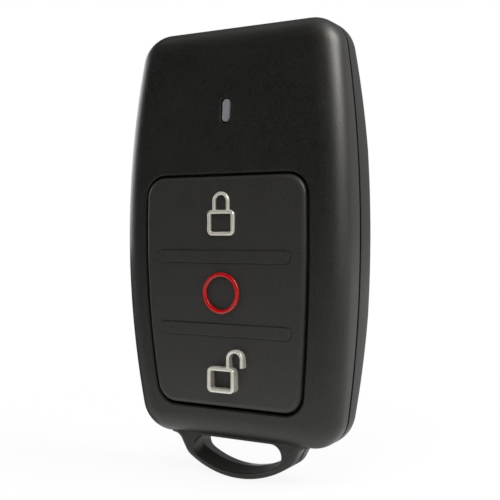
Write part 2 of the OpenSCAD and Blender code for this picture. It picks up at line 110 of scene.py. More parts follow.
class HousingSizes(bpy.types.PropertyGroup):
    """Sizes of the two shells."""

    face_depth: length("Face depth", (SEAM_Y - SHELL_LOW.y) / MM, "Seam to the face's crown")
    back_depth: length("Back depth", (BACK_Y - SEAM_Y) / MM, "Seam to the back's flat")
    side_r: length("Side radius", 200, "Radius of the bulging sides")
    corner_r: length("Corner radius", 5, "Radius of the outline's corners")
    crown_r: length("Crown radius", 254, "Radius of the face lengthwise")
    edge_r: length("Rolled edge", 3.8, "Radius of the face's edge")
    back_crown_r: length("Back crown radius", 220, "Radius of the back lengthwise")
    back_land: length("Back land", 0.35, "Height of crown that the back's flat cuts off")
    back_edge_r: length("Back edge", 2.5, "Radius of the back's edge")
    wall: length("Wall", 1.8, "Thickness of the shells")
    rear_step: length("Rear step", 0.7, "Extra wall round the rear hollow")
    seam_gap: length("Seam gap", 0.01, "Half of the gap between the shells")
    groove_half: length("Groove half width", 0.27, "Half width of the seam's groove")
    groove_depth: length("Groove depth", 0.55, "Depth of the seam's groove")
    seam_r: length("Seam edge", 0.05, "Rounding of the groove's edges")
    window_r: length("Window edge", 0.34, "Rounding of the pad's window")
    slot_r: length("Slot edge", 0.16, "Rounding of lamp slot and screw bores")


class LugSizes(bpy.types.PropertyGroup):
    """Sizes of the key-ring lug."""

    drop: length("Drop", 5.85, "Height of the lug below the body")
    half_w: length("Half width", 10.6, "Half width at the body")
    slope: angle("Slope", 29, "Slope of the sides from the vertical")
    bottom_r: length("Bottom radius", 15, "Radius of the bottom curve")
    corner_r: length("Corner radius", 3, "Radius between side and bottom")
    root_r: length("Root radius", 1.8, "Radius of the blend into the body")
    root_in: length("Root depth", 1.3, "Reach into the body")
    edge_r: length("Edge", 0.7, "Rounding of the outer edge")
    front: length("Front depth", 3, "Depth in front of the seam")
    rear: length("Rear depth", 2.7, "Depth behind the seam")
    hole_half_w: length("Hole half width", 7.7, "Half width of the hole at the seam")
    mouth_half_w: length("Mouth half width", 7.65, "Half width of the hole at the face")
    bow: length("Bow", 1.5, "Thickness below the hole at the seam")
    mouth_bow: length("Mouth bow", 0.97, "Thickness below the hole at the face")
    rear_bow: length("Rear bow", 1.25, "Thickness below the hole at the back")
    hole_rise: length("Hole rise", 0.16, "Hole's top above the body's bottom edge")
    front_lip: length("Front lip", 0.12, "Rounding of the hole's front edge")
    rear_lip: length("Rear lip", 0.6, "Rounding of the hole's rear edge")


class PadSizes(bpy.types.PropertyGroup):
    """Sizes of the rubber pad."""

    half_w: length("Half width", 13.95, "Half width of the window at its middle")
    corner_r: length("Corner radius", 3.3, "Corner radius of the window")
    gap: length("Gap", 0.32, "Gap between pad and window")
    proud: length("Proud", 0.45, "Rise of the pad above the face")
    edge_r: length("Edge", 0.8, "Rounding of the pad's outer edge")
    thick: length("Thickness", 3.05, "Thickness of the pad")
    cut: length("Cut", 0.004, "Gap between a key and its neighbour")
    key_gap: length("Key gap", 0.12, "Running gap of the keys behind the face")
    flange_w: length("Flange width", 1.2, "Width of the hidden flange")
    flange_t: length("Flange thickness", 0.75, "Thickness of the hidden flange")
    flange_gap: length("Flange gap", 0.05, "Gap between flange and face")
    bar_l: length("Bar length", 22.6, "Length of a divider bar")
    bar_rise: length("Bar rise", 0.15, "Rise of a bar above the keys")
    bar_edge_r: length("Bar edge", 0.12, "Rounding of a bar's edge")
    moat: length("Moat", 0.06, "Width of the fine groove round a bar")
    moat_depth: length("Moat depth", 0.12, "Depth of the fine groove round a bar")
    post_d: length("Post", 3.2, "Diameter of the post under a key")
    post_root: share("Post root", 0.9, "Where a post starts in the pad's thickness")


class IconSizes(bpy.types.PropertyGroup):
    """Sizes of the padlocks and the ring."""

    stroke: length("Stroke", 0.58, "Width of a box's stroke")
    edge_r: length("Stroke edge", 0.24, "Rounding of the strokes")
    box_w: length("Box width", 4.6, "Width of a padlock's box")
    box_h: length("Box height", 3.8, "Height of a padlock's box")
    box_r: length("Box corner", 0.8, "Corner radius of a box")
    inner_r: length("Inner corner", 0.16, "Least corner radius inside a box")
    leg_seat: length("Leg seat", 0.2, "Reach of a shackle's legs into the box")
    free_leg: length("Free leg", 0.1, "Rise of the open shackle's free leg")
    shackle_w: length("Shackle width", 2.82, "Outer width of a shackle")
    shackle_stroke: length("Shackle stroke", 0.51, "Width of a shackle's stroke")
    shackle_h: length("Shackle height", 2.7, "Height of a shackle above its box")
    swing: length("Swing", 2.35, "Sideways swing of the open shackle")
    shackle_step: length("Shackle step", 0.03, "Depth of a shackle below its box's face")
    bead: length("Bead", 0.63, "Thickness of the ring's bead")


class LampSizes(bpy.types.PropertyGroup):
    """Sizes of the lamp window."""

    width: length("Width", 1.35, "Width of the lens")
    height: length("Height", 3.5, "Height of the lens")
    gap: length("Gap", 0.2, "Gap round the lens")
    edge_r: length("Edge", 0.2, "Rounding of the lens")
    sunk: length("Sunk", 0.12, "Depth of the lens below the face")


class Colours(bpy.types.PropertyGroup):
    """Colours and gloss of the finishes."""

    shell: colour("Shell", (0.0108, 0.0106, 0.0099), "Dark moulded plastic")
    shell_rough: share("Shell roughness", 0.4, "Roughness of the housing")
    pad: colour("Pad", (0.0205, 0.0201, 0.0186), "Dark rubber")
    pad_rough: share("Pad roughness", 0.44, "Roughness of the rubber")
    sheen: colour("Sheen", (1, 0.99, 0.94), "Tint of the gloss on housing and pad")
    icon: colour("Icons", (0.8, 0.77, 0.7), "Warm light grey")
    icon_rough: share("Icon roughness", 0.18, "Roughness of the padlocks")
    ring: colour("Ring", (0.34, 0.002, 0.003), "Clear red")
    ring_rough: share("Ring roughness", 0.16, "Roughness of the ring under its coat")
    lamp_window: colour("Lamp window", (0.175, 0.177, 0.192), "Milky grey")
    lamp_window_rough: share("Lamp window roughness", 0.2, "Roughness of the lens")
    metal: colour("Metal", (0.55, 0.55, 0.57), "Plated steel")


class Studio(bpy.types.PropertyGroup):
    """Camera."""

    lens: number("Lens", 61.946, "Focal length", min=1, subtype="DISTANCE_CAMERA")
    turn: angle("Turn", 29.159, "Turn to the right of the face")
    distance: length("Distance", 133.402, "Camera to the point that it looks at")
    eye_height: length("Eye height", 2.996, "Height above the fob's middle")
    shift_x: number("Shift across", 0.0087, "Framing across")
    shift_y: number("Shift up", -0.03505, "Framing upwards")


GROUPS = {
    "housing": HousingSizes,
    "lug": LugSizes,
    "pad": PadSizes,
    "icon": IconSizes,
    "lamp": LampSizes,
    "colour": Colours,
    "studio": Studio,
}

# Steps of the round surfaces
CORNER_STEPS = 14
SIDE_STEPS = 40
ROLL_STEPS = 14
EDGE_STEPS = 5
LIP_STEPS = 8
LUG_STEPS = 12
BOX_STEPS = 6
BEAD_STEPS = 16
ROUND_STEPS = 48
RING_STEPS = 96
CARD_STEPS = 24

# Making of the meshes
FACE_STEP = 1.4 * MM  # spacing of the points on a face
FLOOR_STEP = 3 * FACE_STEP  # the same on the floor of a hollow
EDGE_ROOM = 0.45  # share of that spacing that the points keep from an edge
SUPPORT = 0.04 * MM  # width of the row of faces after a rounded edge
CREASE = radians(40)  # turn beyond which an edge stays sharp
CUT_PAST = 4 * MM  # how far a cutter reaches past the piece
CUT_SLACK = 1e-7  # distance within which a point counts as on a cut
MERGE = 1e-8  # distance within which two points count as one
WHOLE_HULL = 0  # kind of triangulation that covers all points


def settings(name):
    """One group of settings on the scene."""
    return getattr(bpy.context.scene, PREFIX + name)


def body_low():
    """Height of the body's bottom edge."""
    return SHELL_LOW.z + settings("lug").drop


def middle_z():
    """Height of the body's middle."""
    return (SHELL_HIGH.z + body_low()) / 2


def mid_height(low, high):
    """Height of a node's middle, from the body's middle."""
    return (low.z + high.z) / 2 - middle_z()


def half_h():
    """Half height of the body."""
    return (SHELL_HIGH.z - body_low()) / 2


def face_depth(z):
    """Depth of the face, at a height from the body's middle."""
    size = settings("housing")
    return size.face_depth - size.crown_r + sqrt(size.crown_r ** 2 - z ** 2)


def back_depth(z):
    """Depth of the back behind the seam."""
    size = settings("housing")
    axis = size.back_depth + size.back_land - size.back_crown_r
    return min(size.back_depth, axis + sqrt(size.back_crown_r ** 2 - z ** 2))


def hollow_of(depth):
    """Depth of the floor of the hollow behind a face or back."""
    wall = settings("housing").wall
    return lambda z: depth(z) - wall


def pad_depth(z):
    """Depth of the pad's surface in front of the seam."""
    return face_depth(z) + settings("pad").proud


# Outlines


def quarter(steps):
    """Turns of a quarter round, both ends included."""
    return [i / steps * pi / 2 for i in range(steps + 1)]


def arc(x, z, r, start, end, steps):
    """Points of an arc, both ends included."""
    turns = [start + (end - start) * i / steps for i in range(steps + 1)]
    return [(x + r * cos(a), z + r * sin(a)) for a in turns]


def closed(right):
    """A right half, from bottom to top, with its mirror image."""
    return right + [(-x, z) for x, z in reversed(right)]


def barrel(half, low, high, corner, inset):
    """Upright outline with bulging sides and round corners, moved inwards by inset."""
    side_r = settings("housing").side_r
    axis = half - side_r
    core = side_r - corner
    start, end = asin((low + corner) / core), asin((high - corner) / core)
    low_x, high_x = axis + core * cos(start), axis + core * cos(end)
    small = corner - inset
    right = arc(low_x, core * sin(start), small, -pi / 2, start, CORNER_STEPS)[:-1]
    right += arc(axis, 0, side_r - inset, start, end, SIDE_STEPS)
    right += arc(high_x, core * sin(end), small, end, pi / 2, CORNER_STEPS)[1:]
    return closed(right)


def body_outline(inset):
    """Outline of the housing."""
    return barrel(HALF_W, -half_h(), half_h(), settings("housing").corner_r, inset)


def pad_outline(inset):
    """Outline of the window in the face."""
    pad = settings("pad")
    low = UNLOCK_LOW.z - pad.gap - middle_z()
    high = LOCK_HIGH.z + pad.gap - middle_z()
    return barrel(pad.half_w, low, high, pad.corner_r, inset)


def round_outline(x, z, r):
    """Circle."""
    return arc(x, z, r, 0, 2 * pi, ROUND_STEPS)[:-1]


def upright_pill(x, z, w, h, inset=0):
    """Upright slot with round ends."""
    r, reach = w / 2 - inset, (h - w) / 2
    half = ROUND_STEPS // 2
    return arc(x, z + reach, r, 0, pi, half) + arc(x, z - reach, r, pi, 2 * pi, half)


def flat_pill(z, w, h, inset=0):
    """Lying slot with round ends."""
    return [(pz, z - px) for px, pz in upright_pill(0, 0, h, w, inset)]


def box_outline(z, w, h, r, inset):
    """Rectangle with round corners, moved inwards by inset."""
    r = max(r - inset, settings("icon").inner_r)
    x_reach, z_reach = w / 2 - inset - r, h / 2 - inset - r
    points = []
    for i, (side, rise) in enumerate(((1, 1), (-1, 1), (-1, -1), (1, -1))):
        start, end = i * pi / 2, (i + 1) * pi / 2
        points += arc(side * x_reach, z + rise * z_reach, r, start, end, BOX_STEPS)
    return points


def lug_outline(inset):
    """Outline of the lug, moved inwards by inset, with its root in the body."""
    lug = settings("lug")
    low = -half_h() - lug.drop
    axis_z = low + lug.bottom_r
    root_x = lug.half_w + lug.root_r * (1 - sin(lug.slope)) / cos(lug.slope)
    reach = lug.bottom_r - lug.corner_r
    height = lug.bottom_r - lug.drop
    side = lug.half_w * cos(lug.slope) + height * sin(lug.slope) - lug.corner_r
    turn = asin(side / reach) - lug.slope
    corner_x, corner_z = reach * sin(turn), axis_z - reach * cos(turn)
    corner_r, root_r = lug.corner_r - inset, lug.root_r + inset
    down = -pi / 2
    right = arc(0, axis_z, lug.bottom_r - inset, down, down + turn, LUG_STEPS)[1:]
    right += arc(corner_x, corner_z, corner_r, down + turn, -lug.slope, LUG_STEPS)[1:]
    right += arc(root_x, -half_h() - lug.root_r, root_r, pi - lug.slope, pi / 2, LUG_STEPS)
    right.append((root_x, -half_h() + lug.root_in))
    return [(0, low + inset)] + closed(right)


def hole_outline(half_w, bow, grow=0):
    """Key-ring hole with round ends, moved outwards by grow."""
    lug = settings("lug")
    axis_z = -half_h() - lug.drop + lug.bottom_r
    r = lug.bottom_r - bow
    top = lug.hole_rise - half_h()
    high = top - axis_z
    slack = r - half_w - high
    end_r = sqrt(slack ** 2 + r ** 2 - half_w ** 2 - high ** 2) - slack
    end_x, end_z = half_w - end_r, top - end_r
    touch = atan2(end_x, axis_z - end_z)
    down = -pi / 2
    right = arc(0, axis_z, r + grow, down, down + touch, LUG_STEPS)[1:]
    right += arc(end_x, end_z, end_r + grow, down + touch, pi / 2, LUG_STEPS)[1:]
    return [(0, axis_z - r - grow)] + closed(right)


def inside(x, z, outline):
    """Whether a point lies within a closed outline."""
    within = False
    for (x0, z0), (x1, z1) in zip(outline, outline[1:] + outline[:1]):
        if (z0 > z) != (z1 > z) and x < x0 + (z - z0) * (x1 - x0) / (z1 - z0):
            within = not within
    return within


class Form:
    """One piece's mesh in the making.

    A point has a width, a depth in front of the seam and a height from the body's middle.
    """

    def __init__(self):
        self.mesh = bmesh.new()

    def ring(self, outline, depth):
        """Points along an outline, at one depth or at one that follows the height."""
        at = depth if callable(depth) else lambda z: depth
        return [self.mesh.verts.new((x, SEAM_Y - at(z), middle_z() + z)) for x, z in outline]

    def skin(self, *rings):
        """Faces between rings, one after the other."""
        for low, high in zip(rings, rings[1:]):
            count = len(low)
            for i in range(count):
                j = (i + 1) % count
                self.mesh.faces.new((low[i], low[j], high[j], high[i]))

    def cap(self, ring):
        """One flat face over a ring."""
        self.mesh.faces.new(ring)

    def solid(self, *rings):
        """Closed form through rings, with a flat face over the first and the last."""
        self.skin(*rings)
        self.cap(rings[0])
        self.cap(rings[-1])

    def sheet(self, edge, depth, holes=(), step=FACE_STEP):
        """Surface inside an edge ring and outside hole rings."""
        loops = [edge, *holes]
        outlines = [[(v.co.x, v.co.z - middle_z()) for v in loop] for loop in loops]
        border = [point for outline in outlines for point in outline]
        near = KDTree(len(border))
        for i, (x, z) in enumerate(border):
            near.insert((x, z, 0), i)
        near.balance()

        def covered(x, z):
            """Whether a point lies on the surface."""
            return inside(x, z, outlines[0]) and not any(inside(x, z, o) for o in outlines[1:])

        xs, zs = [x for x, z in outlines[0]], [z for x, z in outlines[0]]
        columns = round((max(xs) - min(xs)) / step)
        rows = round((max(zs) - min(zs)) / step)
        grid = [
            (min(xs) + i * step, min(zs) + k * step)
            for i in range(1, columns + 1)
            for k in range(1, rows + 1)
        ]
        room = step * EDGE_ROOM
        grid = [p for p in grid if covered(*p) and near.find((*p, 0))[2] > room]
        verts = [v for loop in loops for v in loop] + self.ring(grid, depth)
        links, start = [], 0
        for loop in loops:
            count = len(loop)
            links += [(start + i, start + (i + 1) % count) for i in range(count)]
            start += count
        points = [Vector(p) for p in border + grid]
        made = delaunay_2d_cdt(points, links, [], WHOLE_HULL, MERGE, True)
        spots, _, triangles, sources, _, _ = made
        for triangle in triangles:
            middle = sum((spots[i] for i in triangle), Vector((0, 0))) / 3
            if covered(*middle):
                self.mesh.faces.new([verts[sources[i][0]] for i in triangle])

    def object(self, name, crease):
        """Shown object from this form, smooth except along edges sharper than crease."""
        bmesh.ops.recalc_face_normals(self.mesh, faces=self.mesh.faces)
        mesh = bpy.data.meshes.new(name)
        self.mesh.to_mesh(mesh)
        self.mesh.free()
        mesh.polygons.foreach_set("use_smooth", [True] * len(mesh.polygons))
        mesh.set_sharp_from_angle(angle=crease)
        made = bpy.data.objects.new(name, mesh)
        bpy.context.scene.collection.objects.link(made)
        return made

    def piece(self, name, body, slot, *nodes):
        """Finished piece that rides on a body and stands for CAD nodes."""
        made = self.object(name, CREASE)
        made.data.materials.append(finish_of(slot))
        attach(made, body)
        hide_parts(*nodes)


def combined(first, second, operation):
    """One form from two by a boolean."""
    pair = [first.object("first", pi), second.object("second", pi)]
    change = pair[0].modifiers.new("combine", "BOOLEAN")
    change.operation = operation
    change.solver = "EXACT"
    change.object = pair[1]
    shown = pair[0].evaluated_get(bpy.context.evaluated_depsgraph_get())
    result = Form()
    result.mesh.from_mesh(shown.to_mesh())
    shown.to_mesh_clear()
    for made in pair:
        bpy.data.meshes.remove(made.data)
    return result


def rolled(form, outline, depth, r, steps, inset=0):
    """Rings of a quarter-round edge, from the wall to the surface, and a support ring."""
    rings = []
    for a in quarter(steps):
        sunk = r * (1 - sin(a))
        edge = outline(inset + r * (1 - cos(a)))
        rings.append(form.ring(edge, lambda z, sunk=sunk: depth(z) - sunk))
    rings.append(form.ring(outline(inset + r + SUPPORT), depth))
    return rings


# Housing

# Posts in both shells, blind holes in the front one, and bores and seats in the rear one
POST_R = 2.2 * MM
PILOT_R, PILOT_DEPTH = 1.03 * MM, 3.8 * MM
BORE_R, SEAT_DEPTH = 1.1 * MM, 2.6 * MM
HEAD_GAP = 0.15 * MM


def groove(form, outline, gap):
    """Rings of half of a seam's groove, from its floor to the outer wall."""
    size = settings("housing")
    side = gap + size.groove_half
    rings = [form.ring(outline(size.groove_depth), depth) for depth in (gap, side)]
    for a in quarter(EDGE_STEPS):
        inset = size.seam_r * (1 - sin(a))
        rings.append(form.ring(outline(inset), side + size.seam_r * (1 - cos(a))))
    return rings


def shell_form(depth, roll, step):
    """Half of the housing, as if it were the front one, with open faces to fill.

    It has a wall, a rolled edge and a hollow, which a step makes narrower.
    Gives the form, the outer ring of the face and the ring round the hollow's floor.
    """
    size = settings("housing")
    form = Form()
    seam = groove(form, body_outline, size.seam_gap)
    edge = rolled(form, body_outline, depth, roll, ROLL_STEPS)
    wall = body_outline(size.wall + step)
    inner = [form.ring(wall, hollow_of(depth)), form.ring(wall, size.seam_gap)]
    form.skin(*inner, *seam, *edge)
    return form, edge[-1], inner[0]


def opening(form, outline, depth, r):
    """Rounded lip and wall of an opening; gives its outer and its inner ring."""
    rings = rolled(form, lambda inset: outline(-inset), depth, r, EDGE_STEPS)
    back = form.ring(outline(0), hollow_of(depth))
    form.skin(back, *rings)
    return rings[-1], back


def post(form, x, z, hollow, steps):
    """Screw post with a bore in steps of radius and depth; gives root and end."""
    root = form.ring(round_outline(x, z, POST_R), hollow)
    gap = settings("housing").seam_gap
    steps = [(POST_R, gap), (steps[0][0], gap), *steps]
    rings = [form.ring(round_outline(x, z, r), depth) for r, depth in steps]
    form.skin(*rings)
    form.skin(root, rings[0])
    return root, rings[-1]


def screw_places():
    """Place of each housing screw, with the radius of its head."""
    low, high = SCREW_BOX
    head_r = (high.z - low.z) / 2
    return [(side * (high.x - head_r), mid_height(low, high), head_r) for side in (-1, 1)]


def lug_form(depth):
    """Half of the lug, as if it were the front one."""
    form = Form()
    # Twice the shell's gap, so that no face of the lug lies in a face of the shell
    gap = 2 * settings("housing").seam_gap
    seam = groove(form, lug_outline, gap)
    rings = rolled(form, lug_outline, lambda z: depth, settings("lug").edge_r, LIP_STEPS)
    form.skin(*seam, *rings)
    form.sheet(seam[0], gap)
    form.sheet(rings[-1], lambda z: depth)
    return form


def hole_form(depth, mouth, lip):
    """Cutter for half of the key-ring hole, with a rounded lip."""
    lug = settings("lug")
    form = Form()
    seam = hole_outline(lug.hole_half_w, lug.bow)
    rings = [form.ring(seam, -CUT_PAST), form.ring(seam, 0)]
    for a in quarter(LIP_STEPS):
        edge = hole_outline(*mouth, lip * (1 - cos(a)))
        rings.append(form.ring(edge, depth - lip * (1 - sin(a))))
    rings.append(form.ring(hole_outline(*mouth, lip), depth + CUT_PAST))
    form.solid(*rings)
    return form


def with_lug(shell, depth, mouth, lip):
    """Shell with its half of the lug and of the key-ring hole."""
    whole = combined(shell, lug_form(depth), "UNION")
    return combined(whole, hole_form(depth, mouth, lip), "DIFFERENCE")


class FOB_OT_front_shell(bpy.types.Operator):
    """Front half of the housing, with the window for the pad and the slot for the lamp"""

    bl_idname = "fob.front_shell"
    bl_label = "Front shell"

    def execute(self, context):
        size, lug = settings("housing"), settings("lug")
        hollow = hollow_of(face_depth)
        form, edge, floor = shell_form(face_depth, size.edge_r, 0)
        window = opening(form, pad_outline, face_depth, size.window_r)
        slot = opening(form, slot_outline, face_depth, size.slot_r)
        form.sheet(edge, face_depth, [window[0], slot[0]])
        roots = []
        for x, z, _ in screw_places():
            root, end = post(form, x, z, hollow, [(PILOT_R, PILOT_DEPTH)])
            form.cap(end)
            roots.append(root)
        form.sheet(floor, hollow, [window[1], slot[1], *roots], FLOOR_STEP)
        whole = with_lug(form, lug.front, (lug.mouth_half_w, lug.mouth_bow), lug.front_lip)
        whole.piece("front_half", "housing", "shell", "front_shell")
        return {"FINISHED"}


class FOB_OT_rear_shell(bpy.types.Operator):
    """Rear half of the housing, with the counterbores of its two screws"""

    bl_idname = "fob.rear_shell"
    bl_label = "Rear shell"

    def execute(self, context):
        size, lug = settings("housing"), settings("lug")
        hollow = hollow_of(back_depth)
        form, edge, floor = shell_form(back_depth, size.back_edge_r, size.rear_step)
        mouths, roots = [], []
        for x, z, head_r in screw_places():
            mouth_r = head_r + HEAD_GAP
            mouth = rolled(
                form, lambda inset: round_outline(x, z, mouth_r + inset),
                back_depth, size.slot_r, EDGE_STEPS,
            )
            steps = [(BORE_R, SEAT_DEPTH), (mouth_r, SEAT_DEPTH)]
            root, end = post(form, x, z, hollow, steps)
            form.skin(end, *mouth)
            mouths.append(mouth[-1])
            roots.append(root)
        form.sheet(edge, back_depth, mouths)
        form.sheet(floor, hollow, roots, FLOOR_STEP)
        whole = with_lug(form, lug.rear, (lug.hole_half_w, lug.rear_bow), lug.rear_lip)
        for vert in whole.mesh.verts:
            vert.co.y = 2 * SEAM_Y - vert.co.y
        whole.piece("rear_half", "housing", "shell", "rear_shell")
        return {"FINISHED"}


# Key pad


def pad_form():
    """The whole pad as one crowned block with a rounded edge."""
    pad = settings("pad")

    def under(z):
        """Depth of the pad's underside."""
        return pad_depth(z) - pad.thick

    form = Form()
    low = form.ring(pad_outline(pad.gap), under)
    rings = rolled(form, pad_outline, pad_depth, pad.edge_r, LIP_STEPS, pad.gap)
    form.skin(low, *rings)
    form.sheet(rings[-1], pad_depth)
    form.sheet(low, under)
    return form


def pad_slice(low, high):
    """The pad between two heights, which may be None for no cut."""
    form = pad_form()
    for height, side in ((low, -1), (high, 1)):
        if height is None:
            continue
        cut = bmesh.ops.bisect_plane(
            form.mesh, geom=form.mesh.verts[:] + form.mesh.edges[:] + form.mesh.faces[:],
            dist=CUT_SLACK, plane_co=(0, 0, height), plane_no=(0, 0, side), clear_outer=True,
        )
        rim = [part for part in cut["geom_cut"] if isinstance(part, bmesh.types.BMEdge)]
        bmesh.ops.holes_fill(form.mesh, edges=rim, sides=0)
    return form


def bars():
    """Height of each divider bar, with half the height of the strip that carries it."""
    gap = settings("pad").key_gap
    return [
        ((low.z + high.z) / 2, (high.z - low.z) / 2 - gap / 2)
        for low, high in ((UNLOCK_HIGH, PANIC_LOW), (PANIC_HIGH, LOCK_LOW))
    ]


def add_strip(form, z, reach, bar_outline):
    """Adds a strip of the pad, with the fine groove round its bar."""
    pad = settings("pad")
    floor = pad_depth(z - middle_z()) - pad.moat_depth
    cutter = Form()
    moat = bar_outline(-pad.moat)
    cutter.solid(*[cutter.ring(moat, depth) for depth in (floor, floor + pad.thick)])
    strip = combined(pad_slice(z - reach, z + reach), cutter, "DIFFERENCE")
    extra = bpy.data.meshes.new("strip")
    strip.mesh.to_mesh(extra)
    strip.mesh.free()
    form.mesh.from_mesh(extra)
    bpy.data.meshes.remove(extra)


def add_bar(form, bar_outline):
    """Adds a raised divider bar, with its foot in the strip."""
    pad = settings("pad")

    def top(z):
        """Depth of the bar's top."""
        return pad_depth(z) + pad.bar_rise

    foot = form.ring(bar_outline(0), lambda z: pad_depth(z) - 2 * pad.bar_rise)
    form.solid(foot, *rolled(form, bar_outline, top, pad.bar_edge_r, EDGE_STEPS))


class FOB_OT_key_mat(bpy.types.Operator):
    """Fixed part of the pad: hidden flange, two strips and the raised bars on them"""

    bl_idname = "fob.key_mat"
    bl_label = "Key mat"

    def execute(self, context):
        pad = settings("pad")
        form = Form()
        front = settings("housing").wall + pad.flange_gap
        section = ((-pad.flange_w, front), (pad.gap - pad.key_gap, front))
        section += tuple((inset, depth + pad.flange_t) for inset, depth in reversed(section))
        rings = [
            form.ring(pad_outline(inset), lambda z, depth=depth: face_depth(z) - depth)
            for inset, depth in section
        ]
        form.skin(*rings, rings[0])
        for z, reach in bars():
            height = 2 * (reach - pad.moat - SUPPORT)
            bar_outline = partial(flat_pill, z - middle_z(), pad.bar_l, height)
            add_strip(form, z, reach, bar_outline)
            add_bar(form, bar_outline)
        form.piece("key_mat_strips", "housing", "pad", "key_mat")
        return {"FINISHED"}


class FOB_OT_keys(bpy.types.Operator):
    """The three rubber keys with the posts under them"""

    bl_idname = "fob.keys"
    bl_label = "Keys"

    def execute(self, context):
        pad = settings("pad")
        (low_bar, low_half), (high_bar, high_half) = bars()
        low_reach, high_reach = low_half + pad.cut, high_half + pad.cut
        zones = {
            "lock": (high_bar + high_reach, None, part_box("lock_stem")),
            "panic": (low_bar + low_reach, high_bar - high_reach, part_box("panic_stem")),
            "unlock": (None, low_bar - low_reach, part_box("unlock_stem")),
        }
        for name, (low, high, stem) in zones.items():
            form = pad_slice(low, high)
            z = mid_height(*stem)
            outline = round_outline(0, z, pad.post_d / 2)
            tip = form.ring(outline, STEM_TOP)
            root = form.ring(outline, pad_depth(z) - pad.thick * pad.post_root)
            form.solid(tip, root)
            form.piece(f"{name}_pad", f"{name}_button", "pad", f"{name}_key")
        return {"FINISHED"}


# Icons and lamp


def stroke_section(width, base, step=0):
    """Section of a stroke: distances from its outer side, with their depths."""
    r = settings("icon").edge_r
    face = SEAM_Y - LOCK_ICON[0].y - step
    over = [(r * (1 - cos(a)), face - r * (1 - sin(a))) for a in quarter(EDGE_STEPS)]
    back = [(width - across, depth) for across, depth in reversed(over)]
    return [(0, base), *over, *back, (width, base)]


def shackle_path(box_top, swing):
    """Points along a shackle from right to left, with the way out at each."""
    icon = settings("icon")
    r = (icon.shackle_w - icon.shackle_stroke) / 2
    bend_z = box_top + icon.shackle_h - icon.shackle_w / 2
    seat_z = box_top - icon.leg_seat
    end_z = box_top + icon.free_leg if swing else seat_z
    path = [((swing + r, end_z), (1, 0)), ((swing + r, bend_z), (1, 0))]
    half = ROUND_STEPS // 2
    for i in range(1, half):
        a = i / half * pi
        path.append(((swing + r * cos(a), bend_z + r * sin(a)), (cos(a), sin(a))))
    return path + [((swing - r, bend_z), (-1, 0)), ((swing - r, seat_z), (-1, 0))]


def padlock_form(low_z, base, swing):
    """Padlock drawn as a box frame with a shackle over it."""
    icon = settings("icon")
    form = Form()
    box_z = low_z + icon.box_h / 2
    rings = [
        form.ring(box_outline(box_z, icon.box_w, icon.box_h, icon.box_r, across), depth)
        for across, depth in stroke_section(icon.stroke, base)
    ]
    form.skin(*rings, rings[0])
    stroke = icon.shackle_stroke
    section = stroke_section(stroke, base, icon.shackle_step)
    rows = []
    for (x, z), (out_x, out_z) in shackle_path(box_z + icon.box_h / 2, swing):
        row = []
        for across, depth in section:
            out = stroke / 2 - across
            row += form.ring([(x + out * out_x, z + out * out_z)], depth)
        rows.append(row)
    form.solid(*rows)
    return form


def ring_form():
    """Ring with a round bead for a face and a straight foot."""
    low, high = RING_BOX
    bead = settings("icon").bead
    bead_r, outer = bead / 2, (high.x - low.x) / 2
    face, foot = SEAM_Y - low.y, SEAM_Y - high.y
    section = [(outer, foot)]
    for across, rise in arc(0, 0, bead_r, 0, pi, BEAD_STEPS):
        section.append((outer - bead_r + across, face - bead_r + rise))
    section.append((outer - bead, foot))
    form = Form()
    z = mid_height(low, high)
    rings = [form.ring(arc(0, z, r, 0, 2 * pi, RING_STEPS)[:-1], depth) for r, depth in section]
    form.skin(*rings, rings[0])
    return form


class FOB_OT_icons(bpy.types.Operator):
    """The closed padlock, the open padlock and the red ring"""

    bl_idname = "fob.icons"
    bl_label = "Icons"

    def execute(self, context):
        swing = settings("icon").swing
        padlocks = {"lock": (LOCK_ICON, 0), "unlock": (UNLOCK_ICON, swing)}
        for name, ((low, high), aside) in padlocks.items():
            form = padlock_form(low.z - middle_z(), SEAM_Y - high.y, aside)
            form.piece(f"{name}_padlock", f"{name}_button", "icon", f"{name}_icon")
        ring_form().piece("panic_bead", "panic_button", "ring", "panic_ring")
        return {"FINISHED"}


def lens_outline(inset, gap=0):
    """Outline of the lamp window, moved inwards by inset, with a gap round it."""
    lamp = settings("lamp")
    width, height = lamp.width + 2 * gap, lamp.height + 2 * gap
    return upright_pill(0, mid_height(*PIPE_BOX), width, height, inset)


def slot_outline(inset):
    """Outline of the lamp's slot in the face."""
    return lens_outline(inset, settings("lamp").gap)


def lens_depth(z):
    """Depth of the lens in front of the seam."""
    return face_depth(z) - settings("lamp").sunk


class FOB_OT_lamp_window(bpy.types.Operator):
    """Lens of the lamp, sunk a little in its slot"""

    bl_idname = "fob.lamp_window"
    bl_label = "Lamp window"

    def execute(self, context):
        edge_r = settings("lamp").edge_r
        form = Form()
        base = form.ring(lens_outline(0), SEAM_Y - PIPE_BOX[1].y)
        form.solid(base, *rolled(form, lens_outline, lens_depth, edge_r, EDGE_STEPS))
        form.piece("lamp_lens", "housing", "lamp_window", "light_pipe")
        return {"FINISHED"}


# Finishes

WHITE = (1, 1, 1, 1)
NOISE_ROUGH = 0.55

# Moulded finishes: size of the clouds, and what grain and clouds add to colour, gloss and relief
CLOUD_SIZE = 6 * MM
CLOUD_DETAIL = 3
GRAIN_COLOUR, CLOUD_COLOUR = 1.7, 0.3
GRAIN_GLOSS, CLOUD_GLOSS = 0.03, 0.05
COARSE_SIZE, COARSE_RELIEF = 2.6, 0.5

# Plated finish: stretch of the drawn lines, their shades, roughness and relief
DRAWN_STRETCH = (200, 4000, 12000)
DRAWN_DETAIL = 3
DRAWN_DARK, DRAWN_LIGHT = 0.85, 1.1
DRAWN_ROUGH, DRAWN_GLOSS = 0.22, 0.16
DRAWN_RELIEF = 0.002 * MM

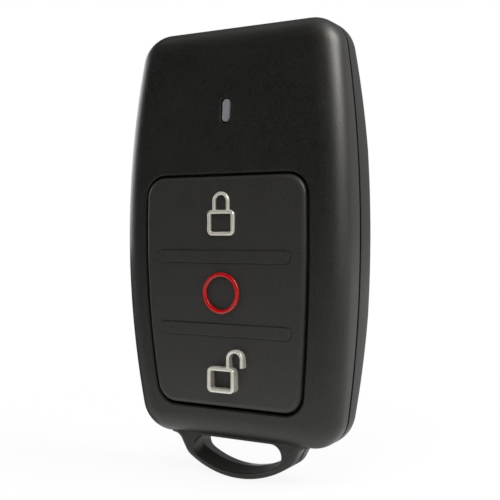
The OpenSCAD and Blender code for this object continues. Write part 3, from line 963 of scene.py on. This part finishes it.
# Pieces in sight: size and depth of the grain in millimetres, spread of the colour, sockets
OUTSIDE = {
    "shell": (0.18, 0.02, 0.95, {}),
    "pad": (0.18, 0.025, 0.45, {}),
    "icon": (0.5, 0.003, 0.04, {"Metallic": 0.6}),
    "ring": (0.6, 0.002, 0.08, {
        "Specular IOR Level": 0.1, "Coat Weight": 1.0, "Coat Roughness": 0.02, "Coat IOR": 1.65,
    }),
    "lamp_window": (0.4, 0.002, 0.06, {"IOR": 1.5}),
}
SHEEN_SLOTS = ("shell", "pad")

# Parts inside: colour, roughness, then the grain and spread as above
INSIDE = {
    "board": ((0.012, 0.1, 0.035), 0.34, 0.5, 0.006, 0.25),
    "switch_body": ((0.012, 0.012, 0.013), 0.5, 0.15, 0.008, 0.18),
    "plunger": ((0.5, 0.48, 0.44), 0.45, 0.15, 0.006, 0.06),
    "lamp": ((0.68, 0.66, 0.55), 0.15, 0.3, 0.003, 0.08),
    "chip": ((0.01, 0.01, 0.011), 0.55, 0.12, 0.008, 0.18),
    "component": ((0.32, 0.21, 0.12), 0.4, 0.12, 0.006, 0.2),
}


class Signal:
    """A number on a shader wire; sums and products of it add Math nodes."""

    def __init__(self, wiring, socket):
        self.wiring = wiring
        self.socket = socket

    def math(self, operation, left, right):
        """Math node on two values."""
        return self.wiring.node("ShaderNodeMath", {"operation": operation}, {0: left, 1: right})

    def __add__(self, other):
        return self.math("ADD", self, other)

    __radd__ = __add__

    def __sub__(self, other):
        return self.math("SUBTRACT", self, other)

    def __rsub__(self, other):
        return self.math("SUBTRACT", other, self)

    def __mul__(self, other):
        return self.math("MULTIPLY", self, other)

    __rmul__ = __mul__

    def __pow__(self, other):
        return self.math("POWER", self, other)

    def __rpow__(self, other):
        return self.math("POWER", other, self)


class Wiring:
    """Nodes of a material or of the world."""

    def __init__(self, tree):
        self.tree = tree

    def node(self, kind, choices=None, values=None, out=0):
        """Adds a node: its choices, then values or links of its sockets; gives one output."""
        made = self.tree.nodes.new(kind)
        for name, choice in (choices or {}).items():
            setattr(made, name, choice)
        for key, value in (values or {}).items():
            self.feed(made.inputs[key], value)
        return Signal(self, made.outputs[out])

    def feed(self, socket, value):
        """Links a signal to a socket, or sets its value."""
        if isinstance(value, Signal):
            self.tree.links.new(value.socket, socket)
        else:
            socket.default_value = value

    def seen(self):
        """One for a ray of camera, gloss or glass; nought for light alone."""
        kinds = ("Is Camera Ray", "Is Glossy Ray", "Is Transmission Ray")
        camera, gloss, glass = [self.node("ShaderNodeLightPath", out=kind) for kind in kinds]
        return camera + gloss + glass

    def show(self, shader):
        """Makes a shader the one that is seen."""
        output = next(node for node in self.tree.nodes if node.type.startswith("OUTPUT"))
        self.feed(output.inputs["Surface"], shader)


class Finish(Wiring):
    """One material, and the nodes that make it."""

    def __init__(self, name):
        """Makes the material with its main shader."""
        self.material = bpy.data.materials.new(PREFIX + name)
        self.material.use_nodes = True
        super().__init__(self.material.node_tree)
        self.shader = self.tree.nodes["Principled BSDF"]

    def set(self, values):
        """Values or links of the main shader's sockets."""
        for name, value in values.items():
            socket = self.shader.inputs[name]
            if socket.type == "RGBA" and not isinstance(value, Signal):
                value = (*value, 1)
            self.feed(socket, value)

    def place(self):
        """Position on the piece, in metres."""
        return self.node("ShaderNodeTexCoord", out="Object")

    def away(self, across=1.0):
        """Distance from the piece's middle, in metres, with the width at a share."""
        kind = "ShaderNodeVectorMath"
        values = {0: self.place(), 1: (across, 1, 1)}
        squeezed = self.node(kind, {"operation": "MULTIPLY"}, values)
        return self.node(kind, {"operation": "LENGTH"}, {0: squeezed}, "Value")

    def ease(self, value, start, end, low):
        """Soft step from a low level to one, while a value goes from start to end."""
        choices = {"interpolation_type": "SMOOTHSTEP", "clamp": True}
        values = {"Value": value, "From Min": start, "From Max": end, "To Min": low, "To Max": 1.0}
        return self.node("ShaderNodeMapRange", choices, values)

    def noise(self, size, detail=2.0):
        """Cloudy pattern with spots of a given size."""
        values = {"Vector": self.place(), "Scale": 1 / size}
        values.update({"Detail": detail, "Roughness": NOISE_ROUGH})
        return self.node("ShaderNodeTexNoise", None, values)

    def mix(self, mask, low, high):
        """Colour between two, by a mask; the colours are inputs 6 and 7 and output 2."""
        return self.node("ShaderNodeMix", {"data_type": "RGBA"}, {0: mask, 6: low, 7: high}, 2)

    def bump(self, height, depth):
        """Relief of a given depth on the surface."""
        values = {"Height": height, "Distance": depth, "Strength": 1.0}
        self.set({"Normal": self.node("ShaderNodeBump", None, values)})


def finish_of(slot):
    """Material that was made for a slot."""
    return bpy.data.materials[PREFIX + slot]


def shade(rgb, factor):
    """A colour made lighter or darker, with full alpha."""
    return (*(min(channel * factor, 1) for channel in rgb), 1)


def grained(name, rgb, rough, spot, relief, spread):
    """Moulded plastic or rubber: fine grain, with cloudy colour and gloss."""
    finish = Finish(name)
    cloud = finish.noise(CLOUD_SIZE, CLOUD_DETAIL)
    grain = finish.noise(spot * MM)
    even_colour = (GRAIN_COLOUR + CLOUD_COLOUR - 1) / 2
    even_gloss = (GRAIN_GLOSS + CLOUD_GLOSS) / 2
    mask = GRAIN_COLOUR * grain + CLOUD_COLOUR * cloud - even_colour
    finish.set({
        "Base Color": finish.mix(mask, shade(rgb, 1 - spread), shade(rgb, 1 + spread)),
        "Roughness": rough - even_gloss + CLOUD_GLOSS * cloud + GRAIN_GLOSS * grain,
    })
    finish.bump(grain + COARSE_RELIEF * finish.noise(spot * MM * COARSE_SIZE), relief * MM)
    return finish


def plated(name, rgb):
    """Plated steel with fine drawn lines."""
    finish = Finish(name)
    stretched = {"Vector": finish.place(), "Scale": DRAWN_STRETCH}
    lines = finish.node("ShaderNodeMapping", None, stretched)
    values = {"Vector": lines, "Scale": 1, "Detail": DRAWN_DETAIL}
    drawn = finish.node("ShaderNodeTexNoise", None, values)
    finish.set({
        "Base Color": finish.mix(drawn, shade(rgb, DRAWN_DARK), shade(rgb, DRAWN_LIGHT)),
        "Metallic": 1,
        "Roughness": DRAWN_ROUGH + DRAWN_GLOSS * drawn,
    })
    finish.bump(drawn, DRAWN_RELIEF)


class FOB_OT_finishes(bpy.types.Operator):
    """Materials of every slot, put on the CAD nodes that stay in sight or inside"""

    bl_idname = "fob.finishes"
    bl_label = "Finishes"

    def execute(self, context):
        tone = settings("colour")
        for slot, (spot, relief, spread, sockets) in OUTSIDE.items():
            rough = getattr(tone, slot + "_rough")
            finish = grained(slot, getattr(tone, slot), rough, spot, relief, spread)
            finish.set(sockets)
            if slot in SHEEN_SLOTS:
                finish.set({"Specular Tint": tone.sheen})
        for slot, numbers in INSIDE.items():
            grained(slot, *numbers)
        plated("metal", tone.metal)
        for part in frame["record"]["subparts"]:
            node = frame["nodes"][part["node"]]
            node.data.materials.clear()
            node.data.materials.append(finish_of(part["material_slot"]))
        return {"FINISHED"}


# Studio

# Softboxes: turn, rise, width, height, power, colour, and whether gloss shows them
LAMP_DISTANCE = 0.6
WARM, COOL = (1, 0.985, 0.95), (0.9, 0.96, 1)
SOFTBOXES = {
    "key_softbox": (97, 41, 0.28, 0.4, 4.4, WARM, True),
    "front_softbox": (10, 58, 0.3, 0.3, 2.6, WARM, False),
    "rim_softbox": (-126, 13, 1.0, 0.26, 1.95, COOL, True),
}

# Cards that only gloss shows, glowing sheets that paint dark and pale reflections: turns, rises,
# distance and brightness
CARDS = {
    "front_card": ((-80, 66), (-2, 89), 0.5, 0.006),
    "high_card": ((-200, -80), (27, 50), 0.5, 0.03),
    "top_card": ((-200, -80), (50, 88), 0.5, 0.35),
    # Dark card low on the left, close to the fob: a painted dark reflection on the lower left side
    "low_card": ((-155, -84), (-58, 0), 0.04, 0.08),
    "low_back_card": ((-175, -155), (-34, 0), 0.06, 0.7),
    "low_side_card": ((100, 185), (-34, -3), 0.06, 0.7),
    "side_card": ((115, 185), (-3, 60), 0.5, 0.46),
}
CARD_CLOUD = 8 * MM
CARD_SPREAD = 0.04

# Floor, and the card on it that gloss shows in its place: a painted reflection of the floor, with
# painted shade beside the lug
FLOOR_REACH = 2.5
FLOOR_DROP = 0.04 * MM
FLOOR_GREYS = (0.58, 0.62)
FLOOR_FLECK = 3 * MM
FLOOR_ROUGH = 0.8
FLOOR_WHITE = (20 * MM, 120 * MM, 0.9)  # start, end and least share of plain white
GLOW_REACH = 0.45
GLOW_DROP = 0.02 * MM
GLOW_BACK = 3 * MM
GLOW_LEVEL, GLOW_START, GLOW_FALL = 1.87, 8 * MM, -0.6  # brightness at a distance, and its fall
GLOW_ACROSS = 0.45
GLOW_LUG_SHADE = (5.5 * MM, 8 * MM, 0.5)  # start, end and least share of the painted shade beside the lug

# Strength of the surround as a light, and as it is seen
SURROUND_LIGHT, SURROUND_SEEN = 0.35, 1.0

# Width of the camera's sensor in millimetres, and the nearest distance that the camera shows
SENSOR_W = 36
NEAR = 1 * MM


def aimed(name, data, location, target):
    """Puts a lamp or camera at a place, looking at a target."""
    made = bpy.data.objects.new(name, data)
    made.location = location
    way = Vector(target) - Vector(location)
    made.rotation_euler = way.to_track_quat("-Z", "Y").to_euler()
    bpy.context.scene.collection.objects.link(made)
    return made


def bearing(turn, rise, distance):
    """Point at a turn to the right of the face and a rise, in degrees."""
    a, e = radians(turn), radians(rise)
    return (distance * sin(a) * cos(e), -distance * cos(a) * cos(e), distance * sin(e))


def softbox(name, turn, rise, width, height, power, rgb, shine):
    """Soft lamp that the camera doesn't see; shine tells whether gloss shows it."""
    data = bpy.data.lights.new(name, "AREA")
    data.shape = "RECTANGLE"
    data.size, data.size_y = width, height
    data.energy = power
    data.color = rgb
    made = aimed(name, data, bearing(turn, rise, LAMP_DISTANCE), (0, 0, 0))
    made.visible_camera = False
    made.visible_glossy = shine


def curved(turns, rises, distance):
    """Rows of points of a curved card, between two turns and two rises."""

    def between(pair, i):
        """Angle after some steps from the first of a pair to the second."""
        return pair[0] + (pair[1] - pair[0]) * i / CARD_STEPS

    count = range(CARD_STEPS + 1)
    return [
        [bearing(between(turns, i), between(rises, k), distance) for i in count] for k in count
    ]


def square(reach):
    """Two rows of two corners of a level square."""
    return [[(-reach, -reach, 0), (reach, -reach, 0)], [(-reach, reach, 0), (reach, reach, 0)]]


def stage_sheet(name, rows, finish, z=0.0, y=0.0):
    """Sheet of the studio through rows of points, at a height and a depth."""
    form = bmesh.new()
    grid = [[form.verts.new(point) for point in row] for row in rows]
    for low, high in zip(grid, grid[1:]):
        for i in range(len(low) - 1):
            form.faces.new((low[i], low[i + 1], high[i + 1], high[i]))
    mesh = bpy.data.meshes.new(name)
    form.to_mesh(mesh)
    form.free()
    mesh.materials.append(finish.material)
    made = bpy.data.objects.new(name, mesh)
    made.location = (0, y, z)
    bpy.context.scene.collection.objects.link(made)
    return made


def card(name, rows, level, z=0.0, y=0.0):
    """Card that only gloss shows, a glowing sheet that paints a reflection; level is its
    brightness or works it out.
    """
    finish = Finish(name)
    if callable(level):
        glow = level(finish)
    else:
        glow = level * (1 - CARD_SPREAD / 2 + CARD_SPREAD * finish.noise(CARD_CLOUD))
    finish.show(finish.node("ShaderNodeEmission", None, {"Color": glow, "Strength": 1.0}))
    made = stage_sheet(name, rows, finish, z, y)
    made.visible_camera = made.visible_diffuse = False
    made.visible_shadow = made.visible_transmission = False


def floor_glow(finish):
    """Brightness of the painted floor reflection: full near the fob, less far off, with painted
    shade beside the lug.
    """
    away = finish.away()
    far = GLOW_LEVEL * (away * (1 / GLOW_START)) ** GLOW_FALL
    # Painted shade of the lug on the reflected floor: as little as half the brightness beside it
    near = finish.ease(finish.away(GLOW_ACROSS), *GLOW_LUG_SHADE)
    return away.math("MINIMUM", far, 1.0) * near


class FOB_OT_stage(bpy.types.Operator):
    """Pale floor, white surround, soft lamps and the camera"""

    bl_idname = "fob.stage"
    bl_label = "Studio"

    def execute(self, context):
        self.floor()
        self.surround()
        self.lamps()
        self.camera()
        context.scene.view_settings.view_transform = "Standard"
        return {"FINISHED"}

    def floor(self):
        """Pale floor under the lug, white further off, which keeps the fob's shadow."""
        finish = Finish("floor")
        low, high = [(grey, grey, grey, 1) for grey in FLOOR_GREYS]
        fleck = finish.noise(FLOOR_FLECK)
        finish.set({"Base Color": finish.mix(fleck, low, high), "Roughness": FLOOR_ROUGH})
        plain = finish.seen() * finish.ease(finish.away(), *FLOOR_WHITE)
        white = finish.node("ShaderNodeEmission", None, {"Color": WHITE, "Strength": 1.0})
        lit = Signal(finish, finish.shader.outputs["BSDF"])
        finish.show(finish.node("ShaderNodeMixShader", None, {0: plain, 1: lit, 2: white}))
        stage_sheet("floor", square(FLOOR_REACH), finish, SHELL_LOW.z - FLOOR_DROP)

    def surround(self):
        """World: white where the camera, gloss or glass sees it, dim as a light."""
        world = bpy.data.worlds.new("surround")
        bpy.context.scene.world = world
        world.use_nodes = True
        sky = Wiring(world.node_tree)
        dim, white = [
            sky.node("ShaderNodeBackground", None, {"Color": WHITE, "Strength": strength})
            for strength in (SURROUND_LIGHT, SURROUND_SEEN)
        ]
        sky.show(sky.node("ShaderNodeMixShader", None, {0: sky.seen(), 1: dim, 2: white}))

    def lamps(self):
        """Softboxes, and the cards of painted reflection that gloss shows between them."""
        for name, numbers in SOFTBOXES.items():
            softbox(name, *numbers)
        for name, (turns, rises, distance, level) in CARDS.items():
            card(name, curved(turns, rises, distance), level)
        low = SHELL_LOW.z - GLOW_DROP
        card("floor_card", square(GLOW_REACH), floor_glow, low, GLOW_BACK)

    def camera(self):
        """Camera at the photograph's angle, level with the fob."""
        studio = settings("studio")
        data = bpy.data.cameras.new("camera")
        data.lens = studio.lens
        data.sensor_width = SENSOR_W
        data.shift_x, data.shift_y = studio.shift_x, studio.shift_y
        data.clip_start = NEAR
        target = Vector((0, SEAM_Y, studio.eye_height))
        away = Vector((sin(studio.turn), -cos(studio.turn), 0)) * studio.distance
        bpy.context.scene.camera = aimed("camera", data, target + away, target)


OPERATORS = (
    FOB_OT_finishes,
    FOB_OT_front_shell,
    FOB_OT_rear_shell,
    FOB_OT_key_mat,
    FOB_OT_keys,
    FOB_OT_icons,
    FOB_OT_lamp_window,
    FOB_OT_stage,
)


class FOB_PT_panel(bpy.types.Panel):
    """Sidebar list of the fob's pieces and settings"""

    bl_idname = "FOB_PT_panel"
    bl_label = "Key fob"
    bl_space_type = "VIEW_3D"
    bl_region_type = "UI"
    bl_category = "Key fob"

    def draw(self, context):
        """Lists the operators and the settings."""
        for operator in OPERATORS:
            self.layout.operator(operator.bl_idname)
        for name, group in GROUPS.items():
            box = self.layout.box()
            box.label(text=group.__doc__)
            for field in group.__annotations__:
                box.prop(settings(name), field)


CLASSES = (*GROUPS.values(), *OPERATORS, FOB_PT_panel)


def register():
    """Makes the classes and the settings known."""
    for made in CLASSES:
        bpy.utils.register_class(made)
    for name, group in GROUPS.items():
        setattr(bpy.types.Scene, PREFIX + name, bpy.props.PointerProperty(type=group))


def unregister():
    """Takes them away again."""
    for name in GROUPS:
        delattr(bpy.types.Scene, PREFIX + name)
    for made in reversed(CLASSES):
        bpy.utils.unregister_class(made)


def main():
    """Builds the fob and its studio."""
    register()
    for operator in OPERATORS:
        group, name = operator.bl_idname.split(".")
        getattr(getattr(bpy.ops, group), name)()


if __name__ == "__main__":
    main()
